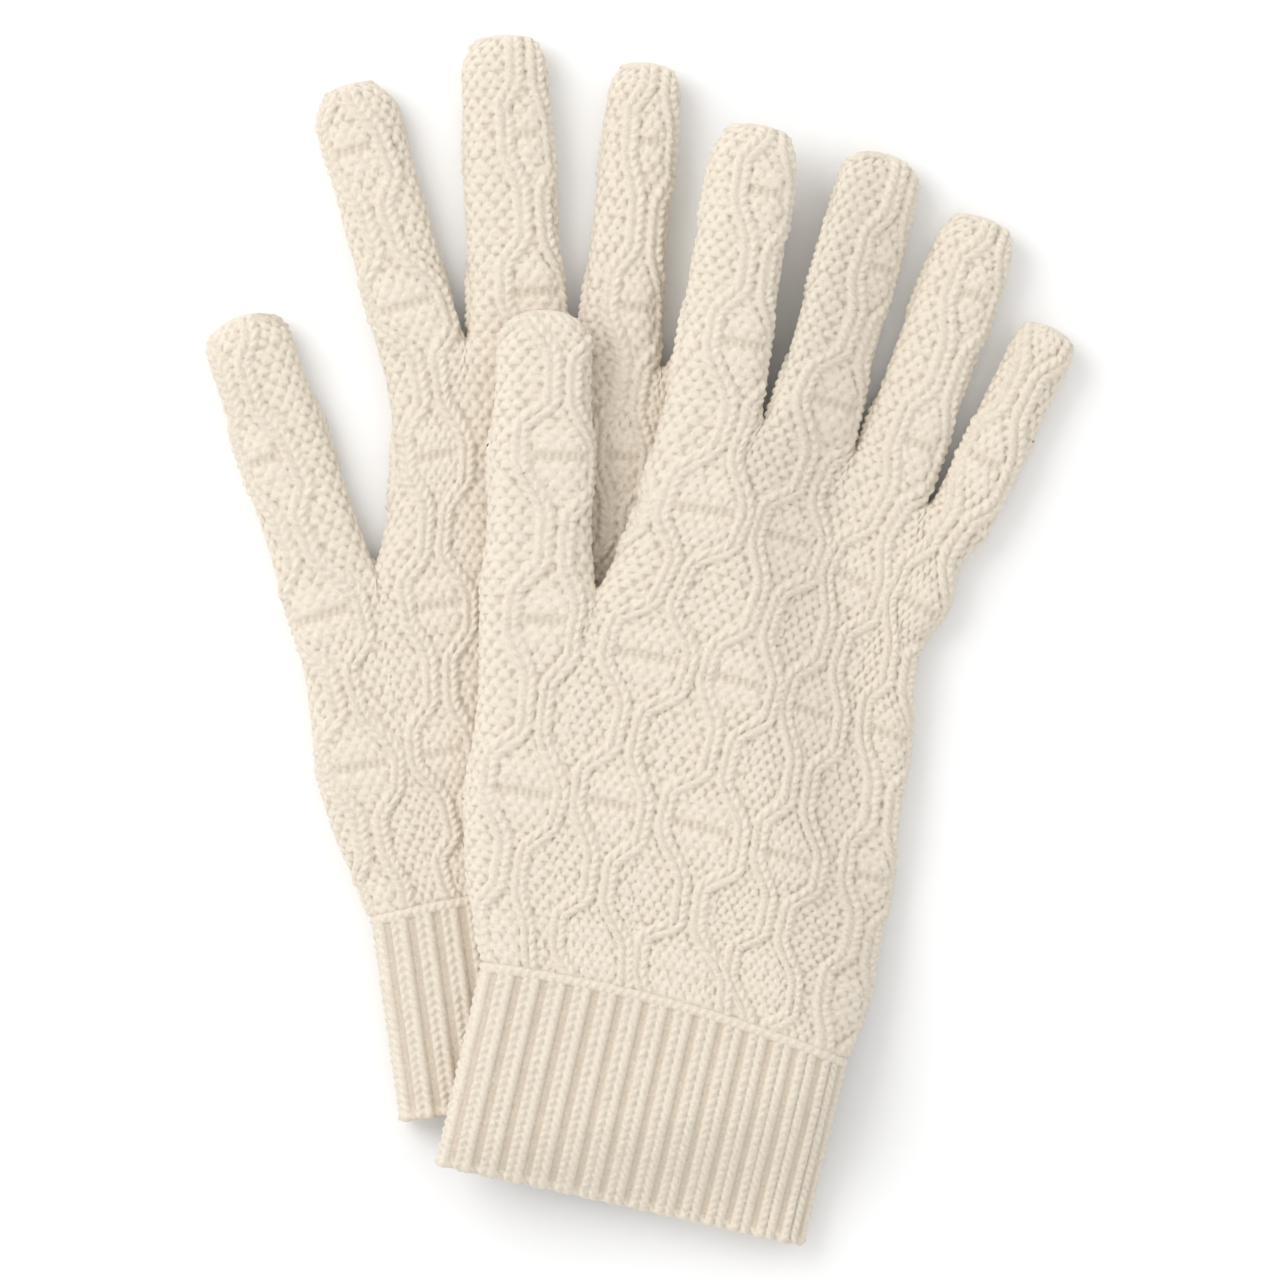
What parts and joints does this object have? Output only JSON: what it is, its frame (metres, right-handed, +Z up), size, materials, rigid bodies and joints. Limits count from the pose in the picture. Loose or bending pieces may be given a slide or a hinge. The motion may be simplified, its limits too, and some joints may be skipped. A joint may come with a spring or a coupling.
{
  "type": "cable knit gloves",
  "caption": "Pair of cream cable-knit wool gloves with full fingers and ribbed cuffs, one lying partly over the other.",
  "frame": {"origin": "on the resting surface, under the middle of the pair's box", "axes": "+Y towards the fingertips, along the longest extent; +Z up from the surface that the gloves lie on; +X across, to the right with the thumbs on the left"},
  "size_m": [0.2022, 0.2848, 0.0231],
  "materials": {
    "cable_knit": "soft cream wool, cable and purl relief",
    "rib_knit": "soft cream wool, ribbed",
    "edge_yarn": "soft cream wool, linked stitches",
    "closing_yarn": "soft cream wool yarn"
  },
  "bodies": {
    "lower_hand": {"lower_cuff_edge": "edge_yarn", "lower_ribbed_cuff": "rib_knit", "lower_linking_seam": "edge_yarn", "lower_palm": "cable_knit", "lower_finger_band": "cable_knit", "lower_crotch_stitches": "closing_yarn", "lower_middle_base": "cable_knit", "lower_ring_base": "cable_knit", "lower_little_base": "cable_knit", "lower_little_tip": "cable_knit", "lower_little_closure": "closing_yarn"},
    "upper_hand": {"upper_palm": "cable_knit", "upper_finger_band": "cable_knit", "upper_crotch_stitches": "closing_yarn"},
    "upper_cuff": {"upper_cuff_edge": "edge_yarn", "upper_ribbed_cuff": "rib_knit", "upper_linking_seam": "edge_yarn"},
    "lower_thumb_lower_half": {"lower_thumb_base": "cable_knit"},
    "lower_thumb_end": {"lower_thumb_tip": "cable_knit", "lower_thumb_closure": "closing_yarn"},
    "lower_index_lower_half": {"lower_index_base": "cable_knit"},
    "lower_index_end": {"lower_index_tip": "cable_knit", "lower_index_closure": "closing_yarn"},
    "lower_middle_end": {"lower_middle_tip": "cable_knit", "lower_middle_closure": "closing_yarn"},
    "lower_ring_end": {"lower_ring_tip": "cable_knit", "lower_ring_closure": "closing_yarn"},
    "upper_thumb_lower_half": {"upper_thumb_base": "cable_knit"},
    "upper_thumb_end": {"upper_thumb_tip": "cable_knit", "upper_thumb_closure": "closing_yarn"},
    "upper_index_lower_half": {"upper_index_base": "cable_knit"},
    "upper_index_end": {"upper_index_tip": "cable_knit", "upper_index_closure": "closing_yarn"},
    "upper_middle_lower_half": {"upper_middle_base": "cable_knit"},
    "upper_middle_end": {"upper_middle_tip": "cable_knit", "upper_middle_closure": "closing_yarn"},
    "upper_ring_lower_half": {"upper_ring_base": "cable_knit"},
    "upper_ring_end": {"upper_ring_tip": "cable_knit", "upper_ring_closure": "closing_yarn"},
    "upper_little_lower_half": {"upper_little_base": "cable_knit"},
    "upper_little_end": {"upper_little_tip": "cable_knit", "upper_little_closure": "closing_yarn"}
  },
  "joints": [
    {"name": "upper_glove_lift", "type": "slide", "parent": "lower_hand", "child": "upper_hand", "axis": [0, 0, 1], "range_m": [0, 0.12]},
    {"name": "upper_cuff_fold", "type": "hinge", "parent": "upper_hand", "child": "upper_cuff", "pos_m": [0.00517, -0.08835, 0.0225], "axis": [-0.9744, 0.225, 0], "range_deg": [0, 70]},
    {"name": "lower_thumb_root", "type": "hinge", "parent": "lower_hand", "child": "lower_thumb_lower_half", "pos_m": [-0.07317, 0.01413, 0.0109], "axis": [0.9478, 0.319, 0], "range_deg": [0, 70]},
    {"name": "lower_thumb_knuckle", "type": "hinge", "parent": "lower_thumb_lower_half", "child": "lower_thumb_end", "pos_m": [-0.08363, 0.04522, 0.0109], "axis": [0.9478, 0.319, 0], "range_deg": [0, 75]},
    {"name": "lower_index_root", "type": "hinge", "parent": "lower_hand", "child": "lower_index_lower_half", "pos_m": [-0.05122, 0.06852, 0.0109], "axis": [0.9632, 0.2689, 0], "range_deg": [0, 70]},
    {"name": "lower_index_knuckle", "type": "hinge", "parent": "lower_index_lower_half", "child": "lower_index_end", "pos_m": [-0.05991, 0.09963, 0.0109], "axis": [0.9632, 0.2689, 0], "range_deg": [0, 75]},
    {"name": "lower_middle_knuckle", "type": "hinge", "parent": "lower_hand", "child": "lower_middle_end", "pos_m": [-0.03038, 0.10659, 0.0109], "axis": [0.9988, 0.0489, 0], "range_deg": [0, 75]},
    {"name": "lower_ring_knuckle", "type": "hinge", "parent": "lower_hand", "child": "lower_ring_end", "pos_m": [-0.00179, 0.10146, 0.0109], "axis": [0.9942, -0.108, 0], "range_deg": [0, 75]},
    {"name": "upper_thumb_root", "type": "hinge", "parent": "upper_hand", "child": "upper_thumb_lower_half", "pos_m": [-0.0239, 0.01247, 0.0225], "axis": [0.9996, -0.0297, 0], "range_deg": [0, 70]},
    {"name": "upper_thumb_knuckle", "type": "hinge", "parent": "upper_thumb_lower_half", "child": "upper_thumb_end", "pos_m": [-0.02294, 0.04496, 0.0225], "axis": [0.9996, -0.0297, 0], "range_deg": [0, 75]},
    {"name": "upper_index_root", "type": "hinge", "parent": "upper_hand", "child": "upper_index_lower_half", "pos_m": [0.01665, 0.05207, 0.0225], "axis": [0.9866, -0.1633, 0], "range_deg": [0, 70]},
    {"name": "upper_index_knuckle", "type": "hinge", "parent": "upper_index_lower_half", "child": "upper_index_end", "pos_m": [0.02233, 0.0864, 0.0225], "axis": [0.9866, -0.1633, 0], "range_deg": [0, 75]},
    {"name": "upper_middle_root", "type": "hinge", "parent": "upper_hand", "child": "upper_middle_lower_half", "pos_m": [0.04026, 0.05031, 0.02237], "axis": [0.9641, -0.2656, 0], "range_deg": [0, 70]},
    {"name": "upper_middle_knuckle", "type": "hinge", "parent": "upper_middle_lower_half", "child": "upper_middle_end", "pos_m": [0.04907, 0.08232, 0.02127], "axis": [0.9641, -0.2656, 0], "range_deg": [0, 75]},
    {"name": "upper_ring_root", "type": "hinge", "parent": "upper_hand", "child": "upper_ring_lower_half", "pos_m": [0.05881, 0.03823, 0.01452], "axis": [0.9397, -0.342, 0], "range_deg": [0, 70]},
    {"name": "upper_ring_knuckle", "type": "hinge", "parent": "upper_ring_lower_half", "child": "upper_ring_end", "pos_m": [0.06993, 0.06877, 0.01155], "axis": [0.9397, -0.342, 0], "range_deg": [0, 75]},
    {"name": "upper_little_root", "type": "hinge", "parent": "upper_hand", "child": "upper_little_lower_half", "pos_m": [0.07407, 0.02608, 0.01155], "axis": [0.9018, -0.4321, 0], "range_deg": [0, 70]},
    {"name": "upper_little_knuckle", "type": "hinge", "parent": "upper_little_lower_half", "child": "upper_little_end", "pos_m": [0.08542, 0.04976, 0.01155], "axis": [0.9018, -0.4321, 0], "range_deg": [0, 75]}
  ]
}
